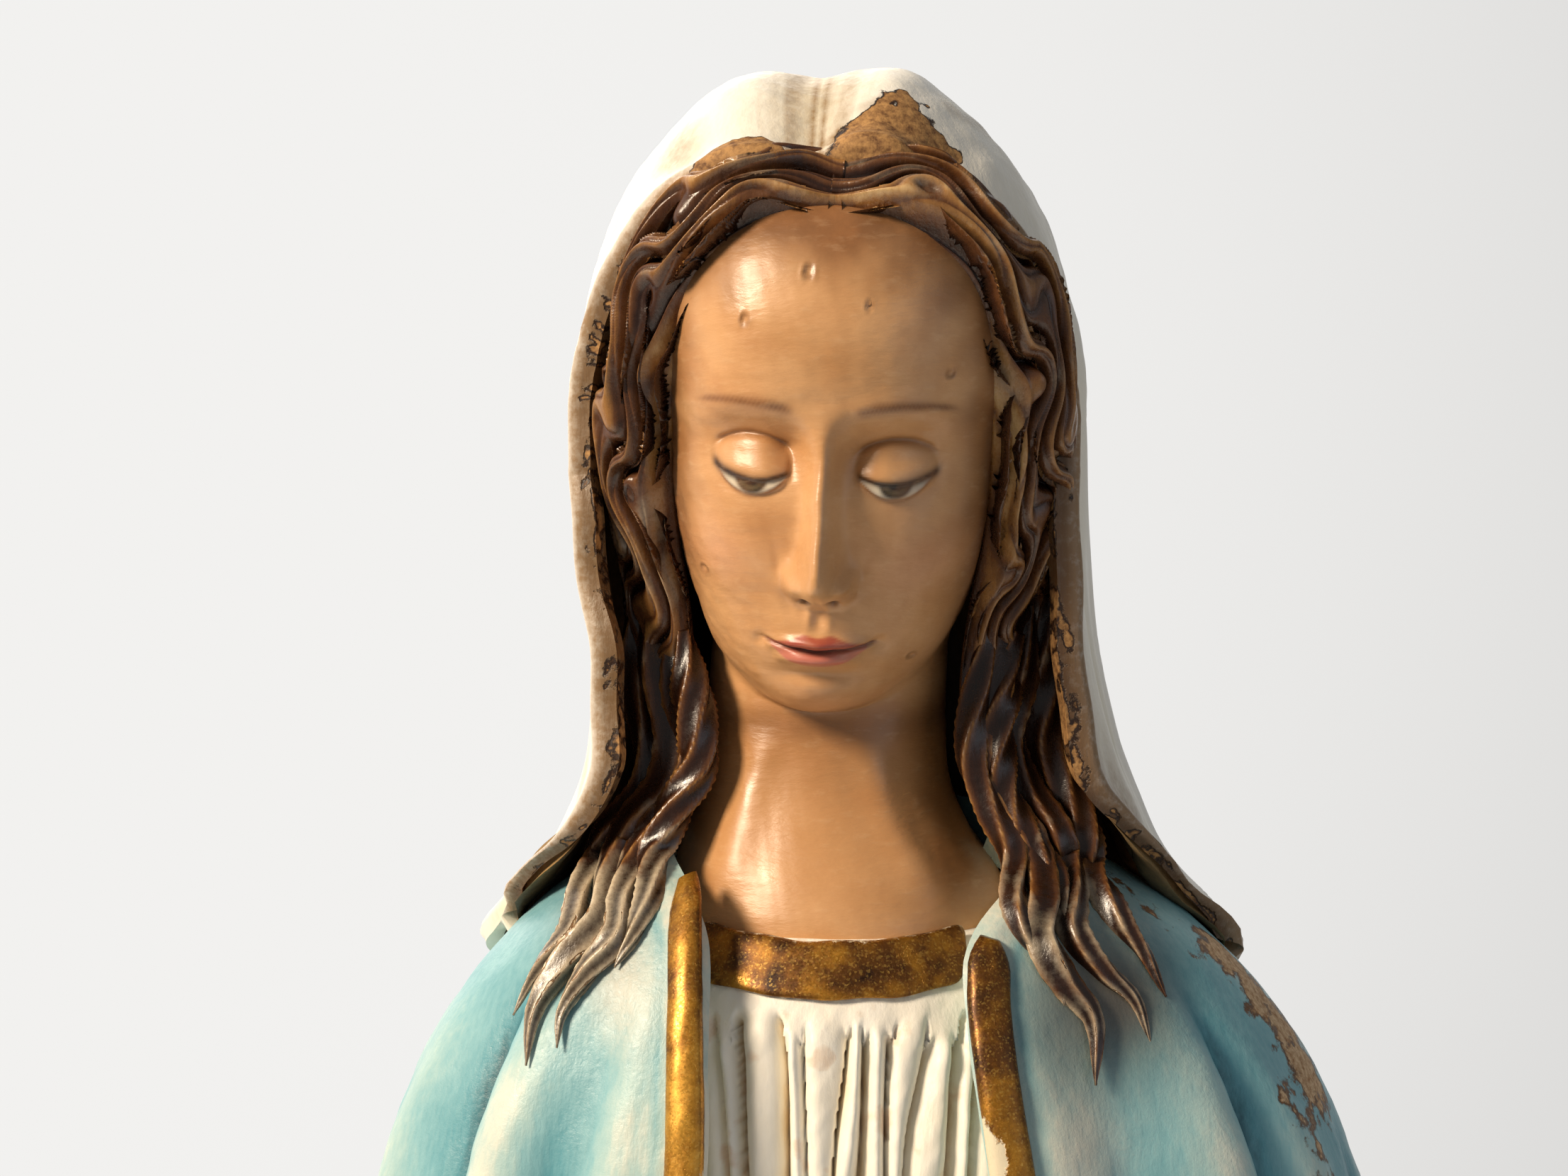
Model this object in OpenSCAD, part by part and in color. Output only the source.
// Standing madonna statue in painted plaster: a hollow casting on a globe and a
// round plinth, with separately cast hands. Millimetres, +Z up, the figure faces -Y,
// and the origin is the centre of the felt under the plinth.

/* [Statue] */
// Height from the felt to the top of the veil
statue_h = 406; // [300:1:620]
// Thickness of the cast plaster wall
wall = 8; // [6:0.5:10]

/* [Base] */
// Radius of the plinth's foot
plinth_r = 54; // [52:1:60]
// Height of the plinth's top
plinth_h = 16; // [14:1:18]
// Radius of the globe
globe_r = 50; // [49:0.5:51]
// Radius of the plug that closes the casting
plug_r = 24; // [16:1:30]
// Thickness of the felt
felt_t = 1.5; // [1:0.25:3]

/* [Dress] */
// Thickness of the veil
veil_t = 2.2; // [1.6:0.1:3]
// Width of the gold borders
trim_w = 3.2; // [2:0.1:4.5]
// How far the gold borders stand proud
trim_t = 0.9; // [0.5:0.1:1.5]
// Height of the band at the neckline
band_h = 4.6; // [3:0.1:6]
// Depth of the skirt's folds
fold_depth = 2.4; // [1:0.1:3]

/* [Figure] */
// How far the head bows forward, in degrees
nod = 14; // [8:1:18]
// How far the head leans to its own left, in degrees
lean = 2.5; // [-4:0.5:4]
// Thickness of a lock of hair
lock_r = 2.4; // [1.8:0.1:3]
// Diameter of the iron rod inside the casting
rod_d = 5; // [3:0.5:8]
// Diameter of the iron pin in each wrist
pin_d = 2; // [1.2:0.1:2.6]

/* [Hidden] */

design_h = 406;      // the height at which the figure's own sections are drawn
touch = 0.05;        // what is left between solids that meet
around = 36;         // points round a section
globe_z = plinth_h + 40 - globe_r;  // centre of the globe, so that its top stays in place
hem_z = 46;          // bottom of the gown
waist_z = 258;       // bottom of the sash
sash_h = 8;
neckline_z = 334;    // top of the gown at the neck
cavity_top = 316;    // how high the casting is hollow
plug_h = 8;
rod_hole = 9;        // radius of the way through the globe

skin = "#DDB083";
hair_brown = "#3E2616";
cream = "#F2EEDD";
blue = "#7DB6C4";
gold = "#A97A2B";
iron = "#55504A";

// Sections: height, half width, depth to the front, depth to the back
GOWN = [[40, 40, 36, 32], [46, 40, 36, 32], [70, 37, 32, 29], [120, 33, 28, 26], [200, 29, 24, 23],
    [240, 24, 19, 19], [262, 21, 17, 17], [285, 24, 20, 18], [303, 27, 22.5, 18],
    [318, 27, 21.5, 17], [328, 22, 18.5, 16], [334, 16, 15.5, 15], [340, 14, 14, 14]];
NECK = [[330, 15.5, 15.5, 15], [334, 15, 15, 14.5], [338, 12.6, 12.5, 13], [342, 11, 10.6, 12],
    [348, 10.4, 9.8, 11.5], [356, 10.4, 9.6, 11.5], [366, 10.4, 9.6, 11.5]];
MANTLE = [[46, 50, 37, 40], [60, 52, 37, 42], [110, 53, 36, 41], [160, 59, 34, 38],
    [195, 68, 33, 35], [215, 71, 32, 33], [235, 67, 30, 31], [262, 58, 28, 29],
    [290, 51, 27.5, 27], [306, 46.5, 27, 25.5], [318, 42, 25.5, 24], [327, 36.5, 23, 22.5],
    [334, 29.5, 19.5, 20.5], [339, 21, 15.5, 18], [342, 14.5, 13, 15.5]];
VEIL = [[292, 46, 28, 29], [306, 46, 28, 29], [320, 41, 26, 27], [330, 34, 23, 26],
    [338, 28, 20.5, 25.5], [348, 24.2, 19, 26], [360, 22.6, 19, 26], [372, 22, 20.5, 25.5],
    [384, 20.5, 21, 24.5], [394, 17, 19, 21], [401, 11.5, 13.5, 14.5], [405, 5, 6, 6.5],
    [406, 0.5, 0.6, 0.7]];
AXIS = [[0, 0], [260, 0], [303, 0], [334, 1.5], [345, 2], [372, 0.5], [395, 0], [406, 0]];

// Value of column c of table t at x, on a smooth curve through the table's rows
function at(t, x, c, i = 0) =
    x <= t[0][0] ? t[0][c] :
    x >= t[len(t) - 1][0] ? t[len(t) - 1][c] :
    x > t[i + 1][0] ? at(t, x, c, i + 1) :
    let (j = max(i - 1, 0), k = min(i + 2, len(t) - 1), h = t[i + 1][0] - t[i][0],
        m0 = (t[i + 1][c] - t[j][c]) / (t[i + 1][0] - t[j][0]),
        m1 = (t[k][c] - t[i][c]) / (t[k][0] - t[i][0]), s = (x - t[i][0]) / h,
        s2 = s * s, s3 = s2 * s)
    (2 * s3 - 3 * s2 + 1) * t[i][c] + (s3 - 2 * s2 + s) * h * m0
        + (3 * s2 - 2 * s3) * t[i + 1][c] + (s3 - s2) * h * m1;

// Distance from a section's axis at angle f, which is 0 at the front and grows to +X
function oval(t, z, f) =
    let (a = at(t, z, 1), b = cos(f) > 0 ? at(t, z, 2) : at(t, z, 3))
    1 / sqrt(pow(sin(f) / a, 2) + pow(cos(f) / b, 2));

function spot(z, f, r) = [r * sin(f), at(AXIS, z, 1) - r * cos(f), z];

// The skirt's folds are deepest at the hem and fade out at the waist
function folds(z, f) = fold_depth * max(0, (waist_z - z) / (waist_z - hem_z)) * cos(13 * f);

function rows(z0, z1, n) = [for (i = [0:n]) z0 + (z1 - z0) * i / n];

function quad(a, b, c, d) = [[a, b, c], [a, c, d]];

// A closed solid through rings of points, all with the same number of points
module skinned(rings) {
    n = len(rings[0]);
    m = len(rings);
    low = m * n;
    polyhedron(
        points = [each for (r = rings) r, mean(rings[0]), mean(rings[m - 1])],
        faces = [
            each for (j = [0:m - 2]) for (i = [0:n - 1])
                quad(j * n + i, (j + 1) * n + i, (j + 1) * n + (i + 1) % n, j * n + (i + 1) % n),
            for (i = [0:n - 1]) [low, i, (i + 1) % n],
            for (i = [0:n - 1]) [low + 1, (m - 1) * n + (i + 1) % n, (m - 1) * n + i]],
        convexity = 8);
}

function mean(p) = [for (k = [0:2]) [for (q = p) q[k]] * [for (q = p) 1] / len(p)];

// A body of the oval sections of table t, grown by more
module body_of(t, z0, z1, n, more = 0, rippled = false)
    skinned([for (z = rows(z0, z1, n)) [for (i = [0:around - 1])
        let (f = i * 360 / around)
        spot(z, f, oval(t, z, f) + more + (rippled ? folds(z, f) : 0))]]);

// A tube along a path of points, with a radius for each point
module tube(path, radii, sides = 10) {
    m = len(path);
    skinned([for (i = [0:m - 1])
        let (d = path[min(i + 1, m - 1)] - path[max(i - 1, 0)], t = d / norm(d),
            s = cross(t, abs(t[2]) > 0.9 ? [0, -1, 0] : [0, 0, 1]), a = s / norm(s), b = cross(t, a))
        [for (k = [0:sides - 1]) path[i] + radii[i] * (cos(k * 360 / sides) * a + sin(k * 360 / sides) * b)]]);
}

// The first child less the others, kept as one mesh: a size of 0 leaves it as large as it is
module carved() {
    resize([0, 0, 0]) difference() {
        children(0);
        children([1:$children - 1]);
    }
}

module sized() { scale(statue_h / design_h) children(); }

// Base

module felt_pad() {
    color("#4E6B45") sized() cylinder(r = plinth_r - 2, h = felt_t, $fn = 96);
}

module base_plug() {
    color("#D8D0BE") sized() translate([0, 0, felt_t]) cylinder(r = plug_r, h = plug_h, $fn = 96);
}

module plinth() {
    lip = 3;
    color(blue) sized() rotate_extrude($fn = 96) polygon([
        [plug_r, felt_t], [plinth_r, felt_t], [plinth_r, felt_t + lip],
        for (a = [0:15:90]) [plinth_r - lip + lip * cos(a), felt_t + lip + 2 * sin(a)],
        [plinth_r - lip - 1, plinth_h - lip], [plinth_r - lip + 1, plinth_h - 1.5],
        [plinth_r - lip, plinth_h], [plug_r - 4, plinth_h],
        [plug_r - 4, felt_t + plug_h], [plug_r, felt_t + plug_h]]);
}

module globe_profile(r, z) {
    low = asin((z - globe_z) / r);
    high = acos(rod_hole / r);
    polygon([for (i = [0:12]) let (a = low + (high - low) * i / 12) [r * cos(a), globe_z + r * sin(a)],
        [rod_hole, z]]);
}

module globe() {
    color(blue) sized() rotate_extrude($fn = 96) difference() {
        globe_profile(globe_r, plinth_h);
        globe_profile(globe_r - wall, plinth_h);
    }
}

module globe_solid() { translate([0, 0, globe_z]) sphere(r = globe_r + touch, $fn = 64); }

// The serpent lies round the front of the globe, in two waves, and thins to its tail
function serpent_at(s) =
    let (f = -150 + 265 * s, e = 22 + 10 * sin(2.2 * 360 * s) + 10 * s, r = globe_r + 2.2)
    [r * cos(e) * sin(f), -r * cos(e) * cos(f), globe_z + r * sin(e)];

module serpent() {
    n = 36;
    color("#6F7F3C") sized() carved() {
        tube([for (i = [0:n]) serpent_at(i / n)],
            [for (i = [0:n]) let (s = i / n) 0.5 + 3.2 * sin(90 * min(1, s / 0.5))
                - (s > 0.9 ? 6 * (s - 0.9) : 0)], 10);
        globe_solid();
        translate([0, 0, felt_t]) cylinder(r = plinth_r + 4, h = plinth_h - felt_t + touch, $fn = 48);
    }
}

// Gown

module gown_form(more = 0) body_of(GOWN, hem_z, neckline_z, 20, more, true);

module neck_form(more = 0) body_of(NECK, neckline_z, 366, 12, more);

module gown_skirt() {
    color(cream) sized() carved() {
        body_of(GOWN, hem_z, waist_z, 14, 0, true);
        body_of(GOWN, hem_z + 10, waist_z + 1, 10, -wall);
        translate([0, 0, hem_z - 1]) cylinder(r = 31, h = 12, $fn = 64);
    }
}

module sash() {
    color(blue) sized() carved() {
        body_of(GOWN, waist_z + touch, waist_z + sash_h, 2, 1.4);
        body_of(GOWN, waist_z - 1, waist_z + sash_h + 1, 4, -wall);
    }
}

module gown_bodice() {
    color(cream) sized() carved() {
        body_of(GOWN, waist_z + sash_h + touch, neckline_z, 12);
        body_of(GOWN, waist_z + sash_h - 1, cavity_top, 8, -wall);
    }
}

module neckline_band() {
    color(gold) sized() carved() {
        intersection() {
            body_of(GOWN, neckline_z - band_h, neckline_z, 3, trim_t);
            translate([0, -50, 0]) cube([2 * (front_half(neckline_z) - trim_w / 2), 100, 800], center = true);
        }
        body_of(GOWN, neckline_z - band_h - 1, neckline_z + 3, 4, touch);
    }
}

// Mantle

// Half width of the mantle's opening in front, from the neck down to the hem
OPENING = [[40, 38], [70, 36], [130, 36], [185, 47], [212, 52], [235, 38], [262, 22], [290, 15],
    [314, 12.5], [345, 12]];

function front_half(z) = at(OPENING, z, 1);

// What lies between the mantle's two front edges, each moved out by more
module opening_form(more = 0, half_only = 0) {
    zs = rows(40, 346, 24);
    left = half_only > 0 ? 0 : -1;
    right = half_only < 0 ? 0 : 1;
    rotate([90, 0, 0]) linear_extrude(height = 90) polygon(concat(
        [for (z = zs) [right * (front_half(z) + more), z]],
        [for (i = [len(zs) - 1:-1:0]) [left * (front_half(zs[i]) + more) - (left == 0 ? 0.01 : 0), zs[i]]]));
}

module mantle_form(more = 0) body_of(MANTLE, hem_z + 1, 342, 22, more);

module mantle() {
    color(blue) sized() carved() {
        mantle_form();
        gown_form(touch);
        neck_form(touch);
        translate([0, 0, waist_z]) body_of([for (r = GOWN) [r[0] - waist_z, r[1], r[2], r[3]]], 0, sash_h, 2, 1.5);
        opening_form();
        for (side = [-1, 1]) sleeve_form(side, touch);
        globe_solid();
    }
}

// The gold border follows the opening's edge, on the face of the mantle
module trim_form(side) {
    carved() {
        intersection() {
            mantle_form(trim_t);
            difference() {
                opening_form(trim_w, side);
                opening_form(touch, 0);
            }
        }
        mantle_form(touch);
        neck_form(touch);
        sleeve_form(side, touch);
        hair_lock_form(side, 0.1);
    }
}

module mantle_trim(side) { color(gold) sized() trim_form(side); }

// Arms

// Joints of the arm: elbow, cuff and wrist, for the side on +X
ELBOW = [38, -4, 258];
CUFF = [59, -25, 219];
WRIST = [64, -29, 211];

function mirrored(p, side) = [side * p[0], p[1], p[2]];

module sleeve_form(side, more = 0)
    hull() {
        translate(mirrored(ELBOW, side)) sphere(r = 11 + more, $fn = 24);
        translate(mirrored(CUFF, side)) aimed(side) cylinder(r = 10.5 + more, h = 4, center = true, $fn = 24);
    }

// Turns a piece that lies along Z to lie along the forearm
module aimed(side) {
    d = mirrored(WRIST, side) - mirrored(CUFF, side);
    rotate([0, acos(d[2] / norm(d)), atan2(d[1], d[0])]) children();
}

module pin_form(side, more = 0)
    translate(mirrored((CUFF + WRIST) / 2, side)) aimed(side) cylinder(d = pin_d + more, h = 13, center = true, $fn = 24);

module sleeve(side) {
    color(cream) sized() carved() {
        sleeve_form(side);
        gown_form(touch);
        pin_form(side);
        translate(mirrored(CUFF, side)) aimed(side) cylinder(r = 12.5, h = 10, $fn = 24);
        body_of(GOWN, waist_z, waist_z + sash_h, 2, 1.5);
    }
}

// The turned-back cuff is a gold ring at the mouth of the sleeve
module cuff(side) {
    color(gold) sized() carved() {
        translate(mirrored(CUFF, side)) aimed(side) cylinder(r = 11.2, h = 2.6, $fn = 32);
        pin_form(side);
    }
}

// A finger is a chain of three joints with rounded ends
module finger(p, q, r0, r1) hull() {
    translate(p) sphere(r = r0, $fn = 10);
    translate(q) sphere(r = r1, $fn = 10);
}

// The open hand points down and out, with the palm to the front
module hand_form(side)
    translate(mirrored(WRIST, side)) aimed(side) rotate([0, 0, side > 0 ? 0 : 180]) {
        hull() {
            translate([0, 0, -5]) cylinder(r = 5, h = 4, $fn = 24);
            translate([0, -1.5, 5]) scale([0.55, 1, 1]) sphere(r = 6, $fn = 16);
        }
        hull() {
            translate([0, -3.5, 5]) scale([0.5, 1, 1]) sphere(r = 5, $fn = 16);
            translate([0, 3.5, 5]) scale([0.5, 1, 1]) sphere(r = 5, $fn = 16);
            translate([0, 0, 14]) scale([0.4, 1, 0.5]) sphere(r = 7, $fn = 16);
        }
        for (k = [0:3]) {
            spread = (k - 1.5) * 3.3;
            reach = 11.5 - 1.2 * abs(k - 1.3);
            finger([0, spread, 14], [0.6, spread * 1.12, 14 + reach * 0.55], 1.9, 1.7);
            finger([0.6, spread * 1.12, 14 + reach * 0.55], [-0.4, spread * 1.16, 15 + reach], 1.7, 1.2);
        }
        finger([0, 4.5, 3], [-2.5, 8.4, 9.5], 2.3, 1.9);
        finger([-2.5, 8.4, 9.5], [-3, 9.2, 14], 1.9, 1.3);
    }

module hand(side) {
    color(skin) sized() carved() {
        hand_form(side);
        pin_form(side);
        translate(mirrored(CUFF, side)) aimed(side) translate([0, 0, -10]) cylinder(r = 12, h = 12.65, $fn = 24);
    }
}

module wrist_pin(side) { color(iron) sized() pin_form(side, -touch); }

// Feet

module foot(side) {
    color(skin) sized() carved() {
        hull() {
            translate([side * 9, -24, 50]) sphere(r = 6, $fn = 20);
            translate([side * 10, -40, 46]) scale([1.35, 1, 0.8]) sphere(r = 4, $fn = 20);
        }
        globe_solid();
        gown_form(touch);
        translate([0, 0, hem_z - 1]) cylinder(r = 31, h = 12, $fn = 64);
    }
}

// Head

// Sections of the head along its own axis: height, half width, front, back
SKULL = [[-25, 1, 6, -1], [-24, 5, 10.5, 3], [-21, 8.6, 14, 7], [-16, 11.6, 16, 11], [-8, 13.8, 17.2, 15],
    [0, 14.6, 17.6, 17], [7, 15, 17.6, 17.6], [13, 14, 16.2, 16.6], [17.5, 11.4, 13.4, 13.6],
    [20.4, 7.4, 9, 9.4], [21.7, 3.4, 4.2, 4.8], [22, 0.5, 0.6, 0.8]];
head_at = [0, -2.5, 376.5];
skull_top = 22;
hair_t = 2.2;        // thickness of the hair over the head

module posed_head() translate(head_at) rotate([nod, lean, 0]) children();

function egg(z, f, more) =
    let (a = at(SKULL, z, 1), b = at(SKULL, z, 2), c = at(SKULL, z, 3), back = max(c, 1))
    1 / sqrt(pow(sin(f) / a, 2) + pow(cos(f) / (cos(f) > 0 ? b : back), 2)) + more;

module head_form(more = 0)
    posed_head() skinned([for (z = rows(-24.9, skull_top - 0.1, 18)) [for (i = [0:29])
        let (f = i * 12, r = egg(z, f, more)) [r * sin(f), -r * cos(f), z * (1 + more / 23)]]]);

module head() {
    color(skin) sized() resize([0, 0, 0]) union() {
        head_form();
        body_of(NECK, neckline_z + touch, 366, 12);
    }
}

// Hair

// The face shows through an arch in the hair, and a wider one in the veil
module arch_form(half, top, low)
    hull() {
        translate([0, 0, low]) rotate([90, 0, 0]) cylinder(r = half, h = 60, $fn = 40);
        translate([0, 0, top - half * 0.82]) rotate([90, 0, 0]) cylinder(r = half * 0.82, h = 60, $fn = 40);
    }

module hair_cap() head_form(hair_t);

module hair_crown(side) {
    color(hair_brown) sized() carved() {
        intersection() {
            hair_cap();
            posed_head() translate([side > 0 ? touch : -40, -40, -17]) cube([40 - touch, 46, 60]);
        }
        head_form(touch);
        neck_form(touch);
        posed_head() translate([0, -4, 0]) arch_form(12.4, 16.5, -24);
    }
}

// Routes of a lock's three strands over the shoulder, for the side on +X
LOCKS = [
    [[14, 3, 360], [13.2, -3, 353], [15.4, -8, 347], [14.6, -12.5, 342.5], [17, -16.8, 338],
        [18.4, -20.2, 333.5], [21.4, -22.6, 328.5], [22.6, -24.4, 324.5]],
    [[15.6, 3.5, 361], [15.6, -2, 354], [17.4, -7, 348], [17.2, -11.5, 343.5], [19.8, -15.4, 339],
        [21.4, -18.6, 335], [24, -20.6, 331], [25.4, -22, 327.5]],
    [[13.2, 1, 356], [12.2, -5, 351], [14, -9.5, 346.5], [13.6, -13.5, 342], [15.6, -17.6, 338],
        [16.2, -20.6, 334], [18.6, -22.8, 330], [19.6, -24.4, 327]]];

function lock_radius(i, n, more) = more + lock_r * (i == n ? 0.25 : 1 - 0.35 * i / n);

module hair_lock_form(side, more = 0)
    for (route = LOCKS)
        tube([for (p = route) mirrored(p, side)],
            [for (i = [0:len(route) - 1]) lock_radius(i, len(route) - 1, more)], 10);

module hair_lock(side) {
    color(hair_brown) sized() carved() {
        hair_lock_form(side);
        mantle_form(touch);
        neck_form(touch);
        head_form(touch);
        hair_cap();
        gown_form(touch);
    }
}

// Veil

// The veil's hem is low on the back, and rises over the shoulders to the front
module veil_form(more = 0) body_of(VEIL, 292, 406 + more / 4, 26, more);

module veil_hem_form() {
    rotate([90, 0, 90]) linear_extrude(height = 140, center = true)
        polygon([[-60, 335], [-12, 335], [2, 330], [16, 312], [26, 300], [60, 296], [60, 280], [-60, 280]]);
}

module veil() {
    color(cream) sized() carved() {
        veil_form();
        veil_form(-veil_t);
        veil_hem_form();
        mantle_form(touch);
        posed_head() translate([0, -3, 0]) arch_form(16.4, 21.4, -44);
        translate([-15.5, -60, 330]) cube([31, 60, 26]);
        hair_cap();
        for (side = [-1, 1]) hair_lock_form(side, touch);
    }
}

// Inside

module armature_rod() {
    low = felt_t + plug_h;
    color(iron) sized() translate([0, 0, low]) cylinder(d = rod_d, h = cavity_top - low, $fn = 48);
}

felt_pad();
base_plug();
plinth();
globe();
serpent();
foot(1);  // foot_left
foot(-1);  // foot_right
gown_skirt();
sash();
gown_bodice();
neckline_band();
mantle();
mantle_trim(1);  // mantle_trim_left
mantle_trim(-1);  // mantle_trim_right
sleeve(1);  // sleeve_left
sleeve(-1);  // sleeve_right
cuff(1);  // cuff_left
cuff(-1);  // cuff_right
hand(1);  // hand_left
hand(-1);  // hand_right
wrist_pin(1);  // wrist_pin_left
wrist_pin(-1);  // wrist_pin_right
head();
hair_crown(1);  // hair_crown_left
hair_crown(-1);  // hair_crown_right
hair_lock(1);  // hair_lock_left
hair_lock(-1);  // hair_lock_right
veil();
armature_rod();
